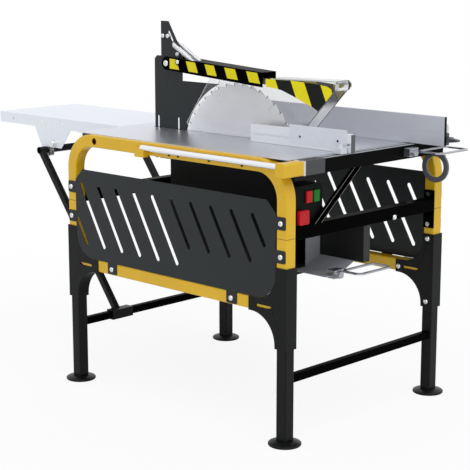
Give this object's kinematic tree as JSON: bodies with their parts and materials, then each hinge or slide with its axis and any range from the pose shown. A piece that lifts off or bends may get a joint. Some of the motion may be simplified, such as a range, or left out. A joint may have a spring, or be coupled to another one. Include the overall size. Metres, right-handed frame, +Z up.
{
  "type": "construction table saw",
  "caption": "Site table saw on a bent-tube frame: galvanised table, sprung clear blade guard, rip fence, low fence, slotted side panels and a braced outfeed extension.",
  "frame": {"origin": "floor level, in the middle of the bounding box", "axes": "+Z up, +Y the way boards are fed, towards the outfeed extension, +X to the operator's right"},
  "size_m": [0.818, 1.807, 1.206],
  "materials": {
    "yellow_paint": "gloss golden yellow paint",
    "black_paint": "satin black powder coat",
    "galvanised": "galvanised sheet",
    "zinc_steel": "bright zinc plate",
    "blade_steel": "ground saw steel",
    "spring_steel": "zinc plated wire",
    "chrome": "polished chrome",
    "aluminium": "drawn profile",
    "grey_aluminium": "grey-blue profile",
    "motor_cast": "cast, painted dark",
    "rotor_steel": "turned steel",
    "grey_plastic": "dark grey moulding",
    "black_plastic": "black moulding",
    "clear_plastic": "clear sheet",
    "white_plastic": "pale moulding",
    "red_plastic": "red moulding",
    "green_plastic": "green moulding"
  },
  "bodies": {
    "frame": {"left_ring": "yellow_paint", "right_ring": "yellow_paint", "front_left_leg_bracket": "black_paint", "front_right_leg_bracket": "black_paint", "rear_left_leg_bracket": "black_paint", "rear_right_leg_bracket": "black_paint", "legs": "black_paint", "feet": "black_plastic", "frame_bolts": "zinc_steel", "lower_front_bar": "black_paint", "lower_rear_bar": "black_paint", "front_mid_beam": "black_paint", "rear_mid_beam": "black_paint", "diagonal_brace": "black_paint", "front_rail": "black_paint", "rail_end_block": "grey_plastic", "corner_stub": "yellow_paint", "slide_rail": "chrome", "slide_rail_lug": "yellow_paint", "table_top": "galvanised", "left_panel": "black_paint", "right_panel": "black_paint", "blade_casing": "black_paint", "casing_cover": "black_paint", "chip_chute": "galvanised", "riving_knife": "black_paint", "knife_clamp": "black_paint", "guard_bolts": "zinc_steel", "motor_bracket": "black_paint", "motor_housing": "motor_cast", "motor_bearings": "zinc_steel", "fan_cover": "black_plastic", "switch_box": "black_plastic", "plug_inlet": "black_plastic", "upper_hoop": "galvanised", "lower_hoop": "galvanised", "eye_plate": "galvanised", "extension_table": "galvanised", "extension_cross_bar": "black_paint", "extension_struts": "black_paint", "tube_clamps": "zinc_steel"},
    "rotor": {"motor_rotor": "rotor_steel", "cooling_fan": "black_plastic", "blade_flanges": "zinc_steel", "saw_blade": "blade_steel"},
    "guard": {"guard_arm": "black_paint", "guard_hood": "clear_plastic"},
    "springs": {"left_spring": "spring_steel", "right_spring": "spring_steel"},
    "rip_fence": {"rip_fence": "grey_aluminium", "rip_bracket": "black_plastic"},
    "rip_lever": {"rip_lever": "black_plastic"},
    "rip_knob": {"rip_knob": "white_plastic"},
    "low_fence": {"low_fence": "aluminium", "low_fence_plate": "galvanised"},
    "green_button": {"green_button": "green_plastic"},
    "red_button": {"red_button": "red_plastic"},
    "stop_flap": {"stop_flap": "red_plastic"},
    "upper_hoop_knob": {"upper_hoop_knob": "zinc_steel"},
    "lower_hoop_knob": {"lower_hoop_knob": "zinc_steel"}
  },
  "joints": [
    {"name": "blade_spin", "type": "hinge", "parent": "frame", "child": "rotor", "pos_m": [-0.074, -0.2595, 0.772], "axis": [1, 0, 0], "continuous": true},
    {"name": "guard_lift", "type": "hinge", "parent": "frame", "child": "guard", "pos_m": [-0.074, 0.0465, 1.07], "axis": [-1, 0, 0], "range_deg": [0, 28]},
    {"name": "spring_swing", "type": "hinge", "parent": "frame", "child": "springs", "pos_m": [-0.074, 0.0325, 1.132], "axis": [-1, 0, 0], "range_deg": [0, 29]},
    {"name": "rip_slide", "type": "slide", "parent": "frame", "child": "rip_fence", "axis": [1, 0, 0], "range_m": [-0.205, 0.11]},
    {"name": "rip_lever_lift", "type": "hinge", "parent": "rip_fence", "child": "rip_lever", "pos_m": [0.212, -0.8675, 0.868], "axis": [-1, 0, 0], "range_deg": [0, 75]},
    {"name": "rip_knob_turn", "type": "hinge", "parent": "rip_fence", "child": "rip_knob", "pos_m": [0.212, -0.8515, 0.9], "axis": [0, 0, 1], "range_deg": [-180, 180]},
    {"name": "low_slide", "type": "slide", "parent": "frame", "child": "low_fence", "axis": [1, 0, 0], "range_m": [-0.165, 0.004]},
    {"name": "green_press", "type": "slide", "parent": "frame", "child": "green_button", "axis": [0, 1, 0], "range_m": [0, 0.004], "stiffness_N_per_m": 600, "springref_m": -0.004},
    {"name": "red_press", "type": "slide", "parent": "frame", "child": "red_button", "axis": [0, 1, 0], "range_m": [0, 0.004], "stiffness_N_per_m": 600, "springref_m": -0.004},
    {"name": "stop_press", "type": "slide", "parent": "frame", "child": "stop_flap", "axis": [0, 1, 0], "range_m": [0, 0.005], "stiffness_N_per_m": 600, "springref_m": -0.004},
    {"name": "upper_knob_turn", "type": "hinge", "parent": "frame", "child": "upper_hoop_knob", "pos_m": [0.149, -0.7845, 0.828], "axis": [0, 1, 0], "range_deg": [-180, 180]},
    {"name": "lower_knob_turn", "type": "hinge", "parent": "frame", "child": "lower_hoop_knob", "pos_m": [-0.111, -0.7095, 0.4765], "axis": [0, 1, 0], "range_deg": [-180, 180]}
  ],
  "couplings": [
    {"joint": "spring_swing", "follows": "guard_lift", "ratio": 0.97}
  ]
}
